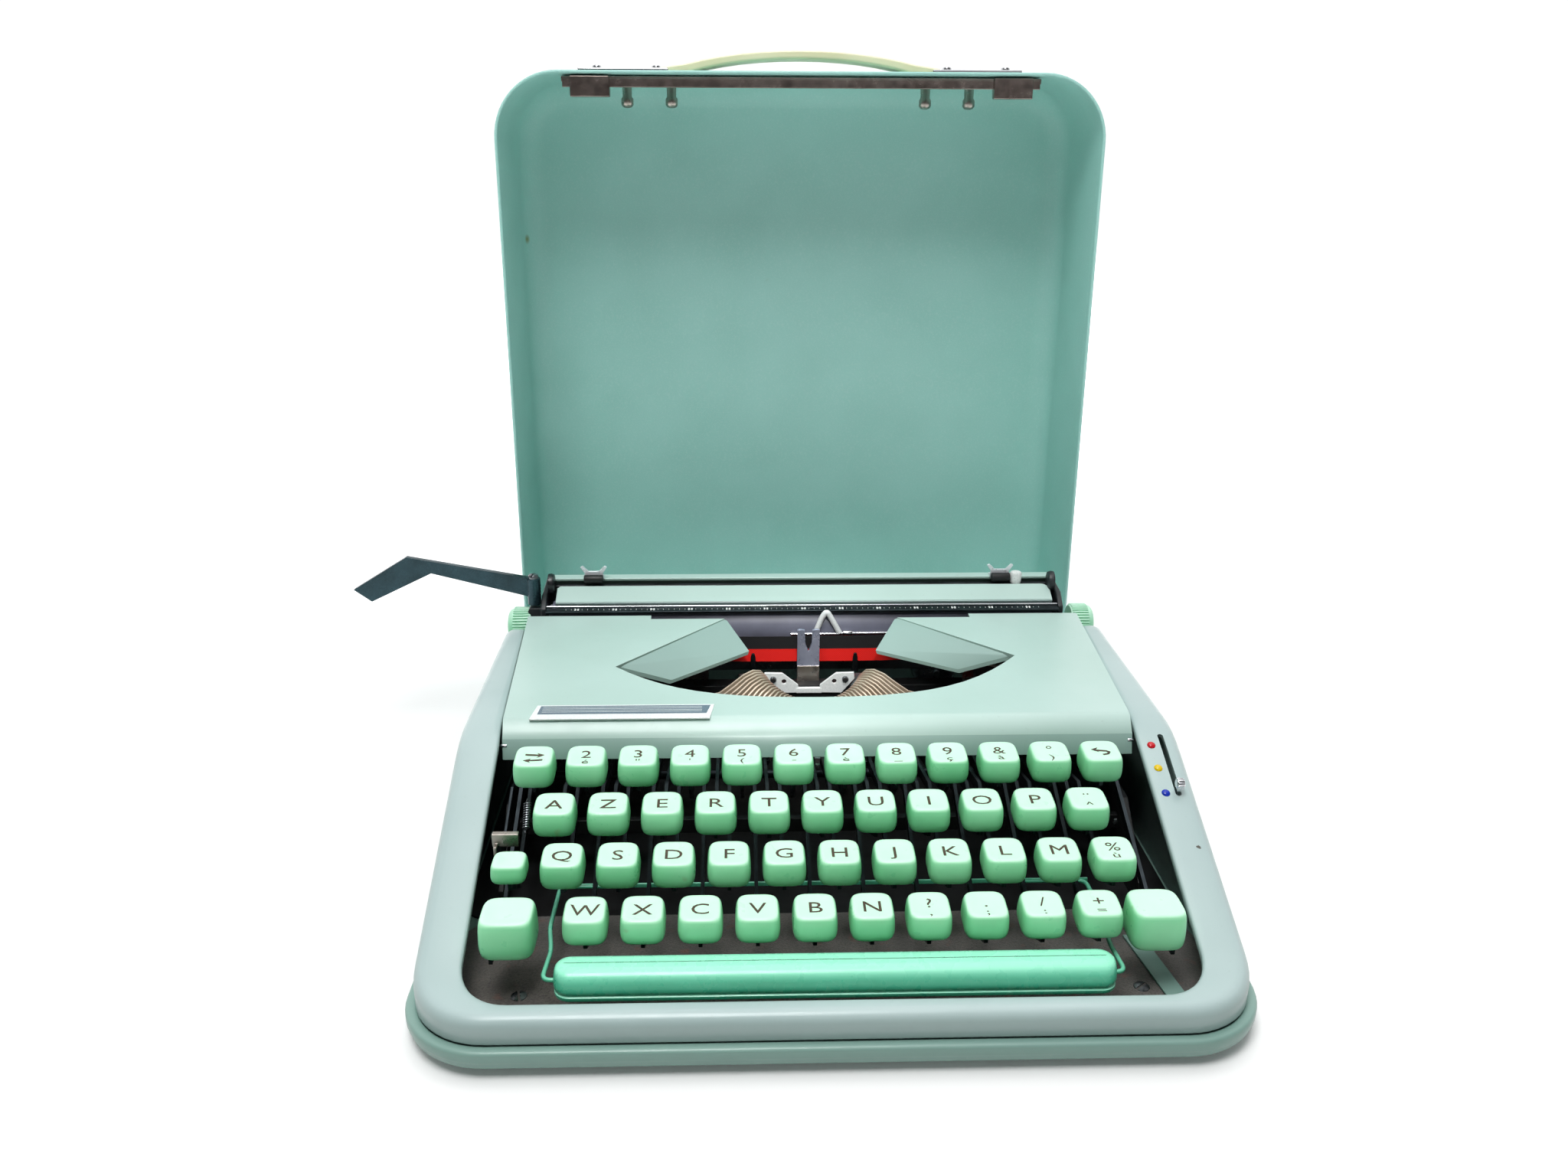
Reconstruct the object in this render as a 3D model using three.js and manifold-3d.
// Portable typewriter standing in its own carrying case, with the case lid open behind it.
// Millimetres. +X is the typist's right, +Y points away from the typist and +Z up.
// The origin is on the desk, under the middle of the tray.
import * as THREE from "three";
import Module from "manifold-3d";
import { ConvexGeometry } from "three/addons/geometries/ConvexGeometry.js";
import { mergeVertices } from "three/addons/utils/BufferGeometryUtils.js";

// ---------------------------------------------------------------- driving dimensions

const CLEARANCE = 0.4; // between neighbouring parts
const RUNNING = 0.9; // between parts that move past each other
const BEYOND = 500; // outside everything, for trimming

const keyboard = {
  pitch: 19, // between neighbouring keys of one row
  rowPitch: 19.5, // from one row to the next, along the desk
  rowRise: 8.75, // each row stands this much above the one in front
  stagger: [0, 0.5, 0.75, 1.25], // start of each row, back to front, in key pitches
  centreX: -1.5,
  frontHeight: 33.35, // middle of a front-row cap above the desk
};
const cap = { width: 15, height: 10.4, corner: 4, topShare: 0.9, tilt: 6 };
const lever = { thick: 1.3, tall: 4, drop: 11, stem: 8, knee: 8.5 };
const arm = { spacing: 3.5, thick: 1.3, tall: 4.5 }; // service levers beside the keys
const fulcrum = { radius: 1.2, aheadOfSegment: 18, height: 34, play: 0.3, wall: 3, bossLength: 10 };

const well = { sideRoom: 2, plate: 2, plateGap: 1.5, corner: 18 };
const shell = { wall: 1.6, band: 14, frontBand: 6, frontTop: 20.6, frontEdge: 3.6, corner: 25 };
const crown = { belowCaps: 5.6, top: 64, rearTop: 40, rearFlange: 6, rearBand: 6.2 };
const tray = { foot: 3, floor: 1.2, rimTop: 10.5, rim: 4.2, ledge: 5, corner: 30 };
const foot = { radius: 9, fromSide: 36, fromEnd: 33 };

const frontStation = 36; // tray front to the middle of the front row
const hood = {
  fromBackRow: 19, // middle of the back row to the foot of the fascia
  length: 118, // fascia to rear edge
  top: 66,
  wall: 1.6,
  fasciaFoot: 53,
  fasciaTop: 60.5,
  fasciaLean: 2.5,
  bevel: 6,
  skirt: 5.5,
};
const typeOpening = {
  centreX: 3,
  reach: 86, // half the distance between the two side tips
  tipFront: 58.5, // fascia to the left tip
  tipSkew: 9, // the right tip lies this much further back
  arcFront: 26.5, // fascia to the foremost point of the arc
  ridgeHalf: 39, // half the distance between the rear ends of the ridges
  ridgeBack: 3, // rear edge of the hood to those ends
  notchHalf: 74.5,
  notchDepth: 4.5,
};
const wing = { drop: 10, inFront: 23, inBack: 10, forward: 8, back: 17, thick: 1.6 };

const segment = { inner: 20, outer: 34, bottom: 36, top: 42.5, aheadOfPlaten: 28.5 };
const typebar = { count: 42, spread: 124, from: 26, behindFascia: 21.5, thick: 1, tall: 3, rise: 6, slug: [4, 6.5] };
const crossBar = { thick: 3, tall: 12, bottom: 26 };

const platen = { radius: 12, half: 119, hoodRoom: 2, height: 56, shaft: 3 };
const knob = { radius: 9, inner: 129, outer: 140.5, sides: 16 };
const carriage = {
  plate: 2.5, // end plates
  plateGap: 2, // platen end to end plate
  plateInset: 1.5, // front of the platen to the front edge of an end plate
  behindRoller: 2.6, // rear of the platen to the rear face of the cover
  bottom: 41,
  abovePlaten: 7,
  rule: [3.6, 1.4], // width and thickness of the ruled bar
  ruleDown: 2.1, // top of the platen to the underside of the ruled bar
  tableRise: 5,
  tableDepth: 11,
  sheet: 1.6,
  coverUp: 1.6, // end plates to the top of the rear cover
};
const rail = { half: 116, front: 8, depth: 9, tall: 12, bottom: 28 };
const behindPlaten = 39.5; // platen axis to the rear wall of the shell

const returnLever = {
  hubRadius: 3.2,
  hubBottom: 67,
  hubTop: 80,
  offset: 4.2, // outside of the end plate to the pivot
  thick: 3,
  bend: [58.5, 91],
  bendInner: [47.5, 83],
  tip: [84.5, 75],
  tipInner: [76.5, 69],
  rootTop: 80,
  rootBottom: 70.5,
};

const spacebar = { half: 91.3, top: 28.2, tall: 10, deep: 12.5, behindCaps: 2, edge: 1.2 };
const bail = { wire: 0.8, pivotBack: 41, pivotHeight: 20, side: 6.6, reach: 4.2, armHeight: 19.2 };

const shiftCap = { width: 19.5, deep: 18, tall: 14.6, top: 38.8, centreBack: -1, insideArm: 5.4 };
const shiftShaft = { radius: 2, belowFulcrum: 16 };
const lockCap = { width: 12.2, deep: 12, tall: 7.4, top: 45.6 };
const marginTab = { width: 9.4, tall: 5, thick: 2.4, ahead: 6, bottom: 42.7 };

const selector = { fromSide: 5, slot: [2.2, 31.5], stem: 1.2, stemDeep: 3, knob: 4, below: 9 };
const selectorStart = 26.5; // middle of the slot's front end, ahead of the fascia

const lid = { depth: 68, wall: 1.5, round: 14, lean: 1.4, rimGap: 1 };
const hinge = { out: 2.5, radius: 2, aboveRim: 1.5, knuckle: 12, from: 95 };
const handle = { half: 66, width: 18, thick: 4, arch: 10, foot: 14, height: 28 };
const latch = { half: 110, tall: 9, thick: 2.6, hookWidth: 18, hookReach: 9, hookFrom: 97, up: 3 };

// ---------------------------------------------------------------- stations worked out from them

const trayLength =
  frontStation + 3 * keyboard.rowPitch + hood.fromBackRow + hood.length +
  platen.radius + platen.hoodRoom + behindPlaten + tray.ledge;
const trayFront = -trayLength / 2;
const frontRowY = trayFront + frontStation;
const backRowY = frontRowY + 3 * keyboard.rowPitch;
const backRowZ = keyboard.frontHeight + 3 * keyboard.rowRise;
const keySlope = keyboard.rowRise / keyboard.rowPitch;
const hoodFront = backRowY + hood.fromBackRow;
const hoodRear = hoodFront + hood.length;
const platenY = hoodRear + platen.radius + platen.hoodRoom;
const shellRear = platenY + behindPlaten;
const shellFront = -trayLength / 2 + tray.ledge;
const segmentY = platenY - segment.aheadOfPlaten;
const fulcrumY = segmentY - segment.outer - fulcrum.aheadOfSegment;

const firstKeyX = keyboard.centreX - 5.5 * keyboard.pitch;
const lockArmX = firstKeyX - arm.spacing;
const shiftArmX = lockArmX - arm.spacing;
const marginArmX = shiftArmX - arm.spacing;
const plateIn = -marginArmX + well.sideRoom; // inner face of the chassis side plates
const wellHalf = plateIn + well.plate + well.plateGap; // half the width of the keyboard opening
const shellHalf = wellHalf + shell.band;
const trayHalf = shellHalf + tray.ledge + 0.5;
const rearHalf = shellHalf - crown.rearBand; // the opening is wider at the carriage

const capLine = (y) => backRowZ + keySlope * (y - backRowY);
const leverTop = (y) => capLine(y) - cap.height / 2 - lever.drop;
const degrees = THREE.MathUtils.degToRad;

// ---------------------------------------------------------------- solid helpers

const wasm = await Module();
wasm.setup();

function solid(geometry) {
  const plain = geometry.clone();
  plain.deleteAttribute("normal");
  plain.deleteAttribute("uv");
  const merged = mergeVertices(plain, 1e-4);
  const mesh = new wasm.Mesh({
    numProp: 3,
    vertProperties: new Float32Array(merged.attributes.position.array),
    triVerts: new Uint32Array(merged.index.array),
  });
  return new wasm.Manifold(mesh);
}

const join = (first, ...rest) => rest.reduce((sum, next) => sum.add(next), first);
const cut = (first, ...rest) => rest.reduce((left, next) => left.subtract(next), first);

// Turns the extrusion of a flat outline so that it runs along the named axis.
const frames = {
  x: new THREE.Matrix4().set(0, 0, 1, 0, 1, 0, 0, 0, 0, 1, 0, 0, 0, 0, 0, 1),
  y: new THREE.Matrix4().set(1, 0, 0, 0, 0, 0, -1, 0, 0, 1, 0, 0, 0, 0, 0, 1),
  z: new THREE.Matrix4(),
};

// Outline points are (y, z) along x, (x, z) along y and (x, y) along z. A placement moves the result.
function slab(outline, axis, from, to, steps = 6, placement = new THREE.Matrix4()) {
  const isShape = outline instanceof THREE.Shape;
  const shape = isShape ? outline : new THREE.Shape(outline.map(([u, v]) => new THREE.Vector2(u, v)));
  const options = { depth: to - from, bevelEnabled: false, curveSegments: steps };
  const geometry = new THREE.ExtrudeGeometry(shape, options);
  geometry.translate(0, 0, axis === "y" ? -to : from);
  return solid(geometry.applyMatrix4(frames[axis]).applyMatrix4(placement));
}

function box(x0, x1, y0, y1, z0, z1, placement = new THREE.Matrix4()) {
  const geometry = new THREE.BoxGeometry(x1 - x0, y1 - y0, z1 - z0);
  geometry.translate((x0 + x1) / 2, (y0 + y1) / 2, (z0 + z1) / 2);
  return solid(geometry.applyMatrix4(placement));
}

function rod(from, to, radius, sides = 10) {
  const a = new THREE.Vector3(...from);
  const b = new THREE.Vector3(...to);
  const along = b.clone().sub(a);
  const geometry = new THREE.CylinderGeometry(radius, radius, along.length(), sides);
  const turn = new THREE.Quaternion().setFromUnitVectors(new THREE.Vector3(0, 1, 0), along.normalize());
  return solid(geometry.applyQuaternion(turn).translate(...a.add(b).multiplyScalar(0.5).toArray()));
}

// A bent wire: straight rods with a ball at each bend.
function wire(points, radius) {
  const runs = points.slice(1).map((point, i) => rod(points[i], point, radius, 8));
  const bends = points.slice(1, -1).map((point) =>
    solid(new THREE.SphereGeometry(radius, 8, 6).translate(...point)));
  return join(...runs, ...bends);
}

function roundedRectangle(halfX, y0, y1, corner) {
  const shape = new THREE.Shape();
  shape.absarc(halfX - corner, y0 + corner, corner, -Math.PI / 2, 0);
  shape.absarc(halfX - corner, y1 - corner, corner, 0, Math.PI / 2);
  shape.absarc(corner - halfX, y1 - corner, corner, Math.PI / 2, Math.PI);
  shape.absarc(corner - halfX, y0 + corner, corner, Math.PI, 1.5 * Math.PI);
  return shape;
}

// Moves an open run of points to its right-hand side by a wall's thickness.
function inside(points, wall) {
  const sides = points.slice(1).map(([y, z], i) => {
    const length = Math.hypot(y - points[i][0], z - points[i][1]);
    const [dy, dz] = [(y - points[i][0]) / length, (z - points[i][1]) / length];
    return { y: points[i][0] + dz * wall, z: points[i][1] - dy * wall, dy, dz, length };
  });
  const last = sides[sides.length - 1];
  const corners = sides.slice(1).map((b, i) => {
    const a = sides[i];
    const t = ((b.y - a.y) * b.dz - (b.z - a.z) * b.dy) / (a.dy * b.dz - a.dz * b.dy);
    return [a.y + t * a.dy, a.z + t * a.dz];
  });
  const end = [last.y + last.dy * last.length, last.z + last.dz * last.length];
  return [[sides[0].y, sides[0].z], ...corners, end];
}

// ---------------------------------------------------------------- finishes

const finish = (color, roughness, metalness = 0) =>
  new THREE.MeshStandardMaterial({ color, roughness, metalness, flatShading: true });
const enamel = finish("#bdd8d0", 0.45);
const trayEnamel = finish("#84a69c", 0.5);
const lidEnamel = finish("#5e9a8c", 0.55);
const keyPlastic = finish("#a6efc0", 0.4);
const barPlastic = finish("#6fd8b0", 0.35);
const blackSteel = finish("#15181a", 0.5, 0.6);
const steel = finish("#8f9499", 0.35, 0.9);
const chrome = finish("#d8dadc", 0.15, 1);
const rubber = finish("#33404a", 0.7);
const cream = finish("#e6e2bf", 0.5);
const leverPaint = finish("#4a6672", 0.35, 0.4);

const typewriter = new THREE.Group();

function add(name, body, material, parent = typewriter) {
  const { vertProperties, triVerts } = body.getMesh();
  const geometry = new THREE.BufferGeometry();
  geometry.setAttribute("position", new THREE.BufferAttribute(new Float32Array(vertProperties), 3));
  geometry.setIndex(new THREE.BufferAttribute(new Uint32Array(triVerts), 1));
  const mesh = new THREE.Mesh(geometry, material);
  mesh.name = name;
  parent.add(mesh);
}

// ---------------------------------------------------------------- case tray

function baseTray() {
  const [y0, y1] = [trayFront, -trayFront];
  const bottom = tray.foot;
  const floorTop = bottom + tray.floor;
  const outline = roundedRectangle(trayHalf, y0, y1, tray.corner);
  const cavity = roundedRectangle(trayHalf - tray.rim, y0 + tray.rim, y1 - tray.rim, tray.corner - tray.rim);
  const pan = cut(slab(outline, "z", bottom, tray.rimTop), slab(cavity, "z", floorTop, tray.rimTop + 1));
  const feet = [-1, 1].flatMap((sx) => [-1, 1].map((sy) => {
    const x = sx * (trayHalf - foot.fromSide);
    const y = sy * (trayLength / 2 - foot.fromEnd);
    return rod([x, y, 0], [x, y, floorTop - 0.2], foot.radius, 16);
  }));
  return join(pan, ...feet, ...trayKnuckles());
}

const hingeY = -trayFront + hinge.out;
const hingeZ = tray.rimTop + hinge.aboveRim;

// The middle knuckle of each hinge belongs to the tray, the outer two to the lid.
function trayKnuckles() {
  return [-1, 1].map((side) => {
    const middle = side * hinge.from;
    const [x0, x1] = [middle - hinge.knuckle / 2, middle + hinge.knuckle / 2];
    const pin = rod([x0, hingeY, hingeZ], [x1, hingeY, hingeZ], hinge.radius, 12);
    return join(pin, box(x0, x1, -trayFront - 1, hingeY, tray.rimTop - 3.5, hingeZ - 1));
  });
}

add("base_tray", baseTray(), trayEnamel);

// ---------------------------------------------------------------- body shell

const crownStart = hoodFront - (capLine(hoodFront) - crown.belowCaps - (shell.frontTop + 0.4)) / keySlope;
const crownEnd = backRowY + (crown.top + crown.belowCaps - backRowZ) / keySlope;
const rearDrop = hoodRear;
const shellBottom = tray.foot + tray.floor + CLEARANCE;

// Side view of the shell, front to back: it rises beside the keys, runs level and drops at the carriage.
const crownLine = [
  [shellFront, shellBottom - 1],
  [shellFront, shell.frontTop - shell.frontEdge],
  [shellFront + 2.5, shell.frontTop - 0.8],
  [shellFront + shell.frontBand, shell.frontTop],
  [crownStart, shell.frontTop + 0.4],
  [crownEnd, crown.top],
  [rearDrop - 12.5, crown.top],
  [rearDrop - 6.5, crown.top - 2.5],
  [rearDrop - 2.5, crown.top - 8],
  [rearDrop - 0.5, crown.top - 16],
  [rearDrop, crown.rearTop],
  [shellRear - 2, crown.rearTop],
  [shellRear, crown.rearTop - 2],
  [shellRear, shellBottom - 1],
];

function openingShape(grow) {
  const [half, rear] = [wellHalf + grow, rearHalf + grow];
  const [front, back] = [shellFront + shell.frontBand - grow, shellRear - crown.rearFlange + grow];
  const rearCorner = shell.corner - crown.rearFlange;
  const shape = new THREE.Shape();
  shape.absarc(half - well.corner, front + well.corner, well.corner, -Math.PI / 2, 0);
  shape.lineTo(half, hoodFront - 3);
  shape.lineTo(rear, hoodRear);
  shape.absarc(rear - rearCorner, back - rearCorner, rearCorner, 0, Math.PI / 2);
  shape.absarc(rearCorner - rear, back - rearCorner, rearCorner, Math.PI / 2, Math.PI);
  shape.lineTo(-rear, hoodRear);
  shape.lineTo(-half, hoodFront - 3);
  shape.absarc(well.corner - half, front + well.corner, well.corner, Math.PI, 1.5 * Math.PI);
  return shape;
}

const slotX = shellHalf - selector.fromSide;
const slotFront = hoodFront - selectorStart - 3.5;

function bodyShell() {
  const wide = shellHalf + 1;
  const outer = slab(roundedRectangle(shellHalf, shellFront, shellRear, shell.corner), "z", shellBottom, BEYOND)
    .intersect(slab(crownLine, "x", -wide, wide));
  const innerPlan = roundedRectangle(
    shellHalf - shell.wall, shellFront + shell.wall, shellRear - shell.wall, shell.corner - shell.wall);
  const inner = slab(innerPlan, "z", shellBottom - 1, BEYOND)
    .intersect(slab(inside(crownLine, shell.wall), "x", -wide, wide));
  const opening = slab(openingShape(0), "z", shellBottom - 1, BEYOND);
  const slot = box(slotX - selector.slot[0] / 2, slotX + selector.slot[0] / 2,
    slotFront, slotFront + selector.slot[1] * Math.cos(Math.atan(keySlope)), crown.rearTop, BEYOND);
  return cut(outer, inner, opening, slot);
}

add("body_shell", bodyShell(), enamel);

// ---------------------------------------------------------------- ribbon cover

// Half the width of the cover at a station, a running gap inside the shell's opening.
function hoodHalf(y) {
  const share = (y - hoodFront + 3) / (hood.length + 3);
  return wellHalf + (rearHalf - wellHalf) * share - RUNNING;
}

const hoodLine = [
  [hoodFront, hood.fasciaFoot],
  [hoodFront + hood.fasciaLean, hood.fasciaTop],
  [hoodFront + hood.fasciaLean + hood.bevel, hood.top - 0.5],
  [hoodFront + hood.fasciaLean + hood.bevel + 3, hood.top],
  [hoodRear, hood.top],
];

function hoodPlan(shrink, rear) {
  const [front, back] = [hoodHalf(hoodFront) - shrink, hoodHalf(rear) - shrink];
  return [[-front, hoodFront - 1], [front, hoodFront - 1], [back, rear], [-back, rear]];
}

// Circle through the two tips and the foremost point of the type opening.
const tipLeft = [typeOpening.centreX - typeOpening.reach, hoodFront + typeOpening.tipFront];
const tipRight = [typeOpening.centreX + typeOpening.reach, tipLeft[1] + typeOpening.tipSkew];
const arcFront = hoodFront + typeOpening.arcFront;
const ridgeY = hoodRear - typeOpening.ridgeBack;
const ridgeLeft = [typeOpening.centreX - typeOpening.ridgeHalf, ridgeY];
const ridgeRight = [typeOpening.centreX + typeOpening.ridgeHalf, ridgeY];

function typeOpeningShape() {
  const shape = new THREE.Shape();
  shape.moveTo(...tipLeft);
  const [pull, lift] = [typeOpening.reach * 0.52, (tipLeft[1] - arcFront) * 0.12];
  shape.bezierCurveTo(tipLeft[0] + pull * 0.5, arcFront + lift * 2, typeOpening.centreX - pull, arcFront,
    typeOpening.centreX, arcFront);
  shape.bezierCurveTo(typeOpening.centreX + pull, arcFront, tipRight[0] - pull * 0.5, arcFront + lift * 3,
    ...tipRight);
  shape.lineTo(...ridgeRight);
  shape.lineTo(ridgeRight[0], hoodRear + 2);
  shape.lineTo(ridgeLeft[0], hoodRear + 2);
  shape.lineTo(...ridgeLeft);
  return shape;
}

// A flap that folds down into the opening from one of its two ridges.
function hoodWing(tip, ridge, side) {
  const low = hood.top - wing.drop;
  const outward = new THREE.Vector3(side * 0.6, -0.5, 0);
  const face = [
    new THREE.Vector3(tip[0] + side * 1.2, tip[1] + 1.5, hood.top),
    new THREE.Vector3(ridge[0] + side * 1.2, ridge[1], hood.top),
    new THREE.Vector3(ridge[0] - side * wing.inBack, ridge[1] - wing.back, low),
    new THREE.Vector3(tip[0] - side * wing.inFront, tip[1] + wing.forward, low),
  ];
  const under = face.map((point) => point.clone().add(outward.clone().setZ(-wing.thick)));
  return solid(new ConvexGeometry([...face, ...under]));
}

function ribbonCover() {
  const wide = rearHalf + 1;
  const under = hood.fasciaFoot - 5;
  const closeOutline = [...hoodLine, [hoodRear, under], [hoodFront, under]];
  const outer = slab(hoodPlan(0, hoodRear), "z", hood.fasciaFoot, hood.top + 1)
    .intersect(slab(closeOutline, "x", -wide, wide));
  const innerLine = inside(hoodLine, hood.wall);
  const lastInner = innerLine[innerLine.length - 1];
  const innerOutline = [...innerLine.slice(0, -1), [hoodRear + 2, lastInner[1]], [hoodRear + 2, under],
    [innerLine[0][0] - 1, under]];
  const inner = slab(hoodPlan(hood.wall, hoodRear + 2), "z", under, hood.top + 1)
    .intersect(slab(innerOutline, "x", -wide, wide));
  const belowSkirt = box(-wide, wide, hoodFront + hood.fasciaLean + 0.5, hoodRear + 2, under,
    hood.top - hood.skirt);
  const opening = slab(typeOpeningShape(), "z", hood.top - 3, hood.top + 1, 10);
  const notch = box(typeOpening.centreX - typeOpening.notchHalf, typeOpening.centreX + typeOpening.notchHalf,
    hoodRear - typeOpening.notchDepth, hoodRear + 2, hood.top - 3, hood.top + 1);
  const wings = [hoodWing(tipLeft, ridgeLeft, -1), hoodWing(tipRight, ridgeRight, 1)];
  const wingRoom = box(-wide, wide, hoodRear - typeOpening.notchDepth, hoodRear + 2, under, hood.top + 1);
  return join(cut(outer, inner, belowSkirt, opening, notch), ...wings.map((flap) => flap.subtract(wingRoom)));
}

add("ribbon_cover", ribbonCover(), enamel);

// ---------------------------------------------------------------- chassis with segment and typebars

function typebars() {
  const { from, tall, rise, slug } = typebar;
  const to = segmentY - hoodFront - typebar.behindFascia;
  const low = segment.top - 1;
  const profile = [
    [from, low],
    [to - slug[0], low + rise],
    [to - slug[0], low + rise - 2],
    [to, low + rise - 2],
    [to, low + rise - 2 + slug[1]],
    [to - slug[0], low + rise - 2 + slug[1]],
    [to - slug[0], low + rise + tall],
    [from, low + tall],
  ];
  return Array.from({ length: typebar.count }, (_, i) => {
    const turn = degrees(-90 + typebar.spread * (i / (typebar.count - 1) - 0.5));
    const placement = new THREE.Matrix4().makeRotationZ(turn).setPosition(typeOpening.centreX, segmentY, 0);
    return slab(profile, "y", -typebar.thick / 2, typebar.thick / 2, 1, placement);
  });
}

function machineFrame() {
  const floorTop = tray.foot + tray.floor + CLEARANCE;
  const sideOutline = [
    [backRowY - 12, floorTop],
    [backRowY - 12, floorTop + 10],
    [hoodFront - 4, crossBar.bottom + 10],
    [platenY, crown.rearTop - 3],
    [platenY + 6, crown.rearTop - 3],
    [platenY + 6, floorTop],
  ];
  const plates = [-1, 1].map((side) => {
    const [a, b] = [side * plateIn, side * (plateIn + well.plate)];
    return slab(sideOutline, "x", Math.min(a, b), Math.max(a, b));
  });
  const reach = plateIn + 0.5;
  const shaft = rod([-reach, fulcrumY, fulcrum.height], [reach, fulcrumY, fulcrum.height], fulcrum.radius, 12);
  const frontBar = box(-reach, reach, hoodFront, hoodFront + crossBar.thick, 20, crossBar.bottom);
  const combY = fulcrumY + 6.5;
  const comb = box(-reach, reach, combY, combY + crossBar.thick, crossBar.bottom + 2,
    crossBar.bottom + crossBar.tall);
  const seat = box(-reach, reach, segmentY - 4, segmentY + 4, segment.bottom - crossBar.tall,
    segment.bottom + 2);
  const ring = new THREE.Shape();
  ring.absarc(typeOpening.centreX, segmentY, segment.outer, Math.PI, 2 * Math.PI);
  ring.absarc(typeOpening.centreX, segmentY, segment.inner, 2 * Math.PI, Math.PI, true);
  const castRing = slab(ring, "z", segment.bottom, segment.top, 18);
  return join(plates[0], plates[1], shaft, frontBar, comb, seat, castRing, ...typebars());
}

add("machine_frame", machineFrame(), blackSteel);

// ---------------------------------------------------------------- keys

function roundedBlock(width, deep, tall, corner, topShare, tilt, x, y, z) {
  const geometry = new THREE.ExtrudeGeometry(
    roundedRectangle(width / 2, -deep / 2, deep / 2, corner),
    { depth: tall, bevelEnabled: false, curveSegments: 1 });
  const place = geometry.attributes.position;
  for (let i = 0; i < place.count; i += 1) {
    const share = 1 - (1 - topShare) * (place.getZ(i) / tall);
    place.setXY(i, place.getX(i) * share, place.getY(i) * share);
  }
  geometry.translate(0, 0, -tall / 2).rotateX(degrees(tilt)).translate(x, y, z);
  return solid(geometry);
}

// Rear end of a lever: a boss with a slot that rides on the fulcrum rod.
function bossPoints() {
  const [y, z] = [fulcrumY, fulcrum.height];
  const slotHalf = fulcrum.radius + fulcrum.play;
  const half = slotHalf + fulcrum.wall;
  const rear = y + 4;
  return [
    [rear - fulcrum.bossLength, z + half],
    [rear, z + half],
    [rear, z + slotHalf],
    [y - slotHalf - 0.3, z + slotHalf],
    [y - slotHalf - 0.3, z - slotHalf],
    [rear, z - slotHalf],
    [rear, z - half],
    [rear - fulcrum.bossLength, z - half],
  ];
}

const kneeY = backRowY + lever.knee;
const levelY = hoodFront + 20;

// Side view of a key lever: under its cap, down to the common plane, up past the rows behind, back to the boss.
function leverOutline(y, capBottom) {
  const start = y + lever.stem / 2 + 8;
  const bossTop = fulcrum.height + fulcrum.radius + fulcrum.play + fulcrum.wall;
  const top = [
    [y - lever.stem / 2, capBottom + 1],
    [y + lever.stem / 2, capBottom + 1],
    [Math.min(start, kneeY - 1), leverTop(Math.min(start, kneeY - 1))],
    [kneeY, leverTop(kneeY)],
    [levelY, bossTop + 1.5],
  ];
  const foot = Math.min(start, kneeY - 1) - 1;
  const under = [
    [levelY, bossTop + 1.5 - lever.tall],
    [kneeY, leverTop(kneeY) - lever.tall],
    [foot, leverTop(foot) - lever.tall],
    [y - lever.stem / 2, capBottom - 2.5],
  ];
  return [...top, ...bossPoints(), ...under];
}

// Slabs along x want their outline counter-clockwise in (y, z).
const leverSlab = (outline, x, thick) => slab([...outline].reverse(), "x", x - thick / 2, x + thick / 2);

function key(row, column) {
  const x = firstKeyX + keyboard.pitch * (keyboard.stagger[row] + column);
  const y = backRowY - row * keyboard.rowPitch;
  const z = backRowZ - row * keyboard.rowRise;
  const body = roundedBlock(cap.width, cap.width, cap.height, cap.corner, cap.topShare, cap.tilt, x, y, z);
  return body.add(leverSlab(leverOutline(y, z - cap.height / 2), x, lever.thick));
}

const keyNames = [
  ["tab_key", "key_2", "key_3", "key_4", "key_5", "key_6", "key_7", "key_8", "key_9", "key_ampersand",
    "key_degree", "backspace_key"],
  [..."AZERTYUIOP"].map((letter) => `key_${letter}`).concat("key_diaeresis"),
  [..."QSDFGHJKLM"].map((letter) => `key_${letter}`).concat("key_percent"),
  [..."WXCVBN"].map((letter) => `key_${letter}`).concat(
    "key_question", "key_semicolon", "key_slash", "key_plus"),
];

keyNames.forEach((names, row) =>
  names.forEach((name, column) => add(name, key(row, column), keyPlastic)));

// ---------------------------------------------------------------- service levers and shift

const lockY = backRowY - 2 * keyboard.rowPitch;

function shiftLock() {
  const z = lockCap.top - lockCap.tall / 2;
  const x = lockArmX - 0.4;
  const body = roundedBlock(lockCap.width, lockCap.deep, lockCap.tall, 3, cap.topShare, 0, x, lockY, z);
  return body.add(leverSlab(leverOutline(lockY, z - lockCap.tall / 2), lockArmX, arm.thick));
}

const marginY = backRowY - keyboard.rowPitch - marginTab.ahead;

function marginRelease() {
  const [left, bottom] = [marginArmX - arm.thick / 2 - 0.8, marginTab.bottom];
  const tab = box(left, left + marginTab.width, marginY - marginTab.thick / 2, marginY + marginTab.thick / 2,
    bottom, bottom + marginTab.tall);
  return tab.add(leverSlab(leverOutline(marginY, bottom + 0.5), marginArmX, arm.thick));
}

const shiftY = frontRowY + shiftCap.centreBack;
const shaftZ = fulcrum.height - shiftShaft.belowFulcrum;

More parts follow.
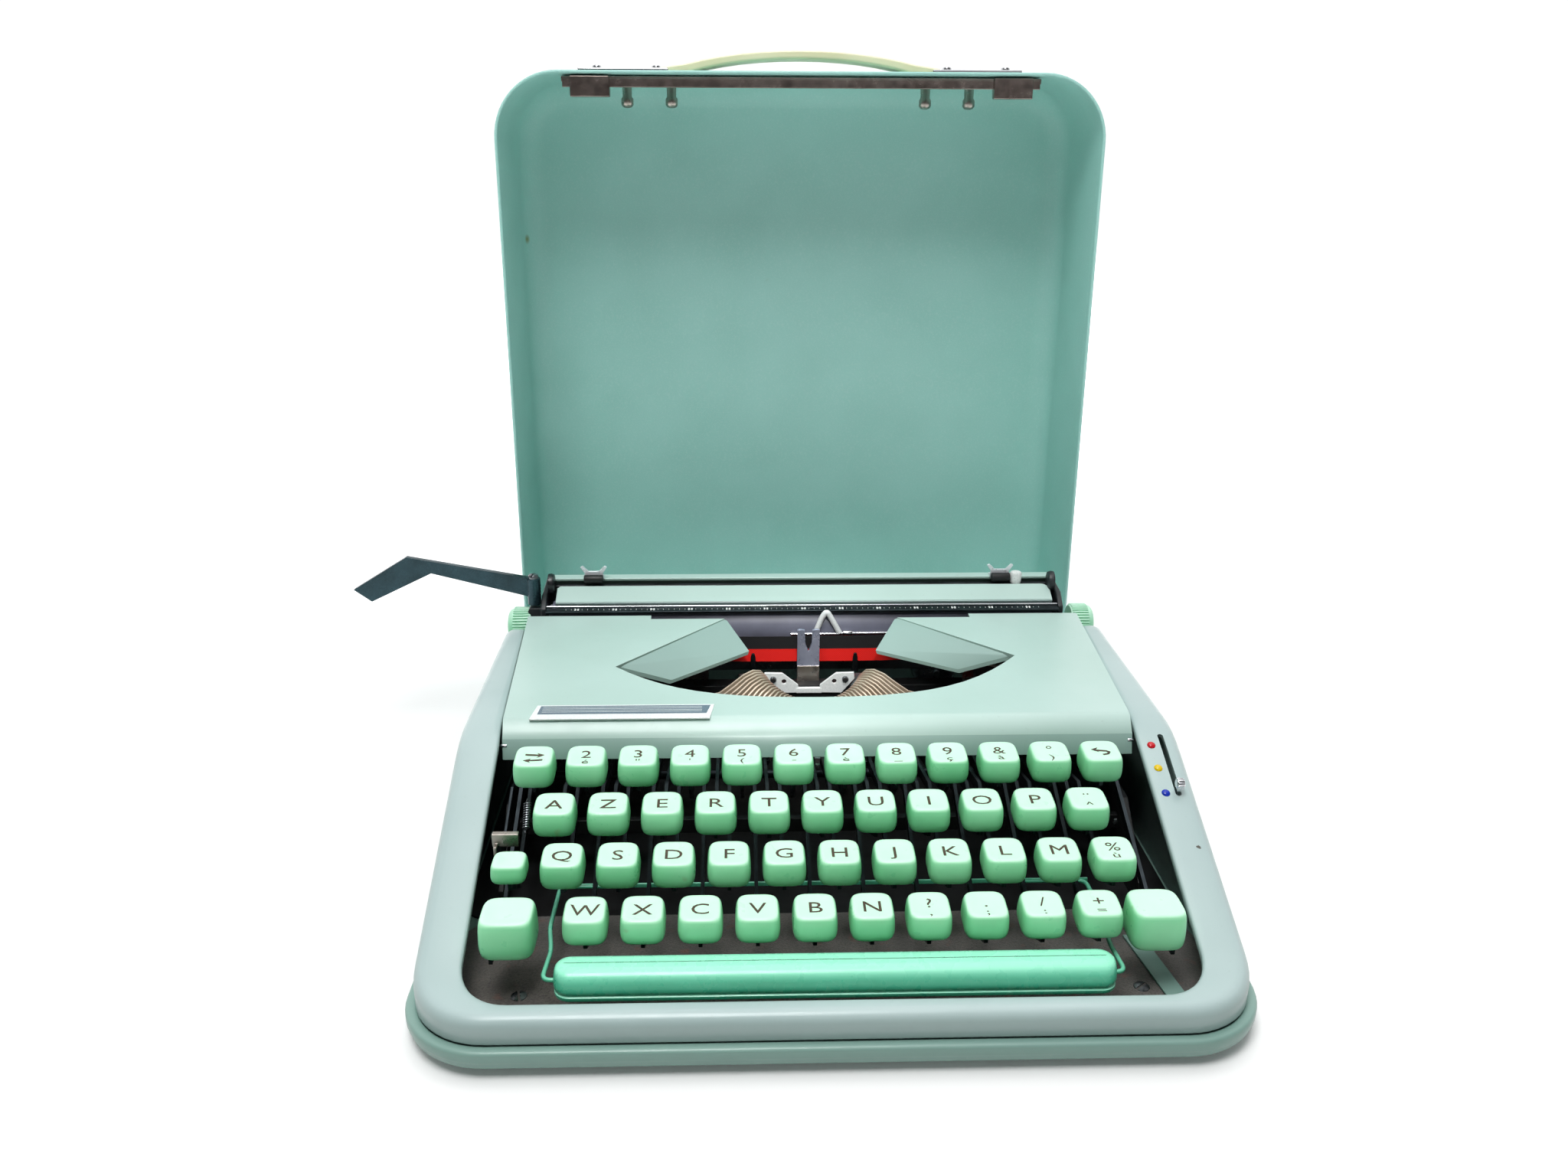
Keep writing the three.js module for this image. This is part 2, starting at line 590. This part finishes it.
function shiftBail() {
  const z = shiftCap.top - shiftCap.tall / 2;
  const foot = z - shiftCap.tall / 2;
  const caps = [-1, 1].map((side) => roundedBlock(shiftCap.width, shiftCap.deep, shiftCap.tall, 5,
    cap.topShare, 0, side * (-shiftArmX - shiftCap.insideArm), shiftY, z));
  const top = [
    [shiftY - 6, foot + 2],
    [shiftY + 6, foot + 2],
    [shiftY + 22, leverTop(shiftY + 22)],
    [kneeY, leverTop(kneeY)],
    [levelY, fulcrum.height + 8],
    [fulcrumY, shaftZ + 3],
  ];
  const outline = [...top, ...top.slice(1).reverse().map(([y, height]) => [y - 1, height - arm.tall]),
    [shiftY - 6, foot - 2]];
  const arms = [-1, 1].map((side) => leverSlab(outline, -side * shiftArmX, arm.thick));
  const end = plateIn - CLEARANCE;
  const shaft = rod([-end, fulcrumY, shaftZ], [end, fulcrumY, shaftZ], shiftShaft.radius, 12);
  return join(shaft, ...arms, ...caps);
}

add("shift_lock", shiftLock(), keyPlastic);
add("margin_release", marginRelease(), chrome);
add("shift_bail", shiftBail(), keyPlastic);

// ---------------------------------------------------------------- spacebar on its wire bail

const barRear = frontRowY - cap.width / 2 - spacebar.behindCaps;

function spaceBar() {
  const { half, top, tall, deep, edge } = spacebar;
  const [front, bottom] = [barRear - deep, top - tall];
  const outline = [
    [front, bottom + edge],
    [front + edge, bottom],
    [barRear - edge, bottom],
    [barRear, bottom + edge],
    [barRear, top - edge],
    [barRear - edge, top],
    [front + 2 * edge, top],
    [front, top - 2 * edge],
  ];
  const bar = slab(outline, "x", -half, half);
  const pivotY = frontRowY + bail.pivotBack;
  const wires = [-1, 1].map((side) => wire([
    [side * (half - 2), front + 3, bail.armHeight],
    [side * (half + bail.reach), front + 3, bail.armHeight],
    [side * (half + bail.side), frontRowY + 14, bail.pivotHeight - 3],
    [side * (half + 10), pivotY, bail.pivotHeight],
    [0, pivotY, bail.pivotHeight],
  ], bail.wire));
  return join(bar, ...wires);
}

add("space_bar", spaceBar(), barPlastic);

// ---------------------------------------------------------------- ribbon selector in the right-hand band

function ribbonSelector() {
  const y = hoodFront - selectorStart;
  const surface = capLine(y) - crown.belowCaps;
  const { stem, stemDeep, below } = selector;
  const tilt = new THREE.Matrix4().makeRotationX(Math.atan(keySlope)).setPosition(slotX, y, surface);
  const onBand = (x, up) => new THREE.Vector3(x, 0, up).applyMatrix4(tilt).toArray();
  const post = box(-stem / 2, stem / 2, -stemDeep / 2, stemDeep / 2, -below, 3, tilt);
  const grip = rod(onBand(-1.6, 4), onBand(1.6, 4), selector.knob / 2, 12);
  const shoe = box(-3, 3, -stemDeep, stemDeep, -below, -below + 2, tilt);
  return join(post, grip, shoe);
}

add("ribbon_selector", ribbonSelector(), chrome);

// ---------------------------------------------------------------- carriage

const plateX = platen.half + carriage.plateGap;

function carriageFrame() {
  const front = platenY - platen.radius + carriage.plateInset;
  const back = platenY + platen.radius + carriage.behindRoller;
  const top = platen.height + platen.radius + carriage.abovePlaten;
  const sideOutline = [
    [front, carriage.bottom + 8],
    [platenY - 4, carriage.bottom],
    [back, carriage.bottom],
    [back, top],
    [platenY - 4, top - 2],
    [front, top - 7],
  ];
  const plates = [-1, 1].map((side) => {
    const [a, b] = [side * plateX, side * (plateX + carriage.plate)];
    const plate = slab(sideOutline, "x", Math.min(a, b), Math.max(a, b));
    return plate.subtract(rod([a - side, platenY, platen.height], [b + side, platenY, platen.height],
      platen.shaft + CLEARANCE, 16));
  });
  const reach = plateX + 0.5;
  const [ruleWidth, ruleThick] = carriage.rule;
  const ruleZ = platen.height + platen.radius - carriage.ruleDown;
  const ruleFront = platenY - platen.radius;
  const rule = box(-reach, reach, ruleFront, ruleFront + ruleWidth, ruleZ, ruleZ + ruleThick);
  const tableFront = ruleFront + ruleWidth + 2;
  const tableLow = platen.height + platen.radius + RUNNING;
  const tableLine = [
    [tableFront, tableLow],
    [tableFront + carriage.tableDepth, tableLow + carriage.tableRise],
    [tableFront + carriage.tableDepth, tableLow + carriage.tableRise + carriage.sheet],
    [tableFront, tableLow + carriage.sheet],
  ];
  const table = slab(tableLine, "x", -reach, reach);
  const coverTop = top + carriage.coverUp;
  const cover = slab([
    [back - 6, coverTop - carriage.sheet],
    [back - carriage.sheet, coverTop - carriage.sheet],
    [back - carriage.sheet, carriage.bottom],
    [back, carriage.bottom],
    [back, coverTop],
    [back - 6, coverTop],
  ], "x", -reach, reach);
  return join(plates[0], plates[1], rule, table, cover);
}

function platenRoller() {
  const at = (x) => [x, platenY, platen.height];
  const roller = rod(at(-platen.half), at(platen.half), platen.radius, 28);
  const shaft = rod(at(-knob.outer + 2), at(knob.outer - 2), platen.shaft, 16);
  const knobs = [-1, 1].map((side) => rod(at(side * knob.inner), at(side * knob.outer), knob.radius,
    knob.sides));
  return join(roller, shaft, ...knobs);
}

const leverX = -(plateX + carriage.plate + returnLever.offset);

function carriageReturn() {
  const { hubRadius, hubBottom, hubTop, thick, rootTop, rootBottom } = returnLever;
  const hub = rod([leverX, platenY, hubBottom], [leverX, platenY, hubTop], hubRadius, 14);
  const along = ([reach, height]) => [leverX - reach, height];
  const outline = [
    [leverX, rootBottom],
    [leverX, rootTop],
    along(returnLever.bend),
    along(returnLever.tip),
    along(returnLever.tipInner),
    along(returnLever.bendInner),
  ];
  return hub.add(slab(outline, "y", platenY - thick / 2, platenY + thick / 2));
}

function carriageRail() {
  const front = platenY + rail.front;
  return box(-rail.half, rail.half, front, front + rail.depth, rail.bottom, rail.bottom + rail.tall);
}

add("carriage_rail", carriageRail(), steel);
add("carriage_frame", carriageFrame(), blackSteel);
add("platen", platenRoller(), rubber);
add("return_lever", carriageReturn(), leverPaint);

// ---------------------------------------------------------------- lid, drawn closed about its hinge pin

const lidGroup = new THREE.Group();
lidGroup.position.set(0, hingeY, hingeZ);
lidGroup.rotation.x = -degrees(90 + lid.lean);
typewriter.add(lidGroup);

const lidRear = -hinge.out; // outer faces, measured from the hinge pin
const lidFront = lidRear - trayLength;
const rimZ = tray.rimTop + lid.rimGap - hingeZ;

function roundedTub(inset, bottom, top, round) {
  const corner = tray.corner - inset;
  const shape = roundedRectangle(trayHalf - inset - round, lidFront + inset + round,
    lidRear - inset - round, Math.max(corner - round, 1));
  const depth = top - bottom;
  const geometry = new THREE.ExtrudeGeometry(shape, {
    depth, curveSegments: 5, bevelThickness: round, bevelSize: round, bevelSegments: 3,
  });
  geometry.translate(0, 0, bottom - round);
  const trim = box(-BEYOND, BEYOND, -BEYOND, BEYOND, bottom, top + 1);
  return solid(geometry).intersect(trim);
}

function lidShell() {
  const top = rimZ + lid.depth;
  const outer = roundedTub(0, rimZ, top, lid.round);
  const inner = roundedTub(lid.wall, rimZ - 1, top - lid.wall, lid.round - lid.wall);
  const knuckles = [-1, 1].flatMap((side) => [-1, 1].map((end) => {
    const near = side * hinge.from + end * (hinge.knuckle / 2 + CLEARANCE);
    const far = near + end * hinge.knuckle / 2;
    const [x0, x1] = [Math.min(near, far), Math.max(near, far)];
    return join(rod([x0, 0, 0], [x1, 0, 0], hinge.radius, 12), box(x0, x1, lidRear - 1, 0, 1, hinge.radius + 4));
  }));
  return join(cut(outer, inner), ...knuckles);
}

function carryHandle() {
  const shape = new THREE.Shape();
  const { half, thick, arch, foot: pad } = handle;
  const low = CLEARANCE;
  shape.moveTo(-half, low);
  shape.lineTo(-half + pad, low);
  shape.quadraticCurveTo(-half * 0.45, low + arch - thick, 0, low + arch - thick);
  shape.quadraticCurveTo(half * 0.45, low + arch - thick, half - pad, low);
  shape.lineTo(half, low);
  shape.lineTo(half, low + thick * 0.6);
  shape.lineTo(half - pad + 2, low + thick);
  shape.quadraticCurveTo(half * 0.45, low + arch, 0, low + arch);
  shape.quadraticCurveTo(-half * 0.45, low + arch, -half + pad - 2, low + thick);
  shape.lineTo(-half, low + thick * 0.6);
  const middle = rimZ + handle.height;
  const onFront = new THREE.Matrix4().makeRotationZ(Math.PI).setPosition(0, lidFront, 0);
  return slab(shape, "z", middle - handle.width / 2, middle + handle.width / 2, 6, onFront);
}

function latchBar() {
  const wallIn = lidFront + lid.wall + RUNNING;
  const low = rimZ + latch.up;
  const bar = box(-latch.half, latch.half, wallIn, wallIn + latch.thick, low, low + latch.tall);
  const hooks = [-1, 1].map((side) => {
    const middle = side * latch.hookFrom;
    const [x0, x1] = [middle - latch.hookWidth / 2, middle + latch.hookWidth / 2];
    return slab([
      [wallIn, low - 2],
      [wallIn + latch.hookReach, low - 2],
      [wallIn + latch.hookReach, low + 2],
      [wallIn + latch.thick, low + 5],
      [wallIn, low + 5],
    ], "x", x0, x1);
  });
  return join(bar, ...hooks);
}

add("lid", lidShell(), lidEnamel, lidGroup);
add("carry_handle", carryHandle(), cream, lidGroup);
add("latch_bar", latchBar(), chrome, lidGroup);

export default typewriter;
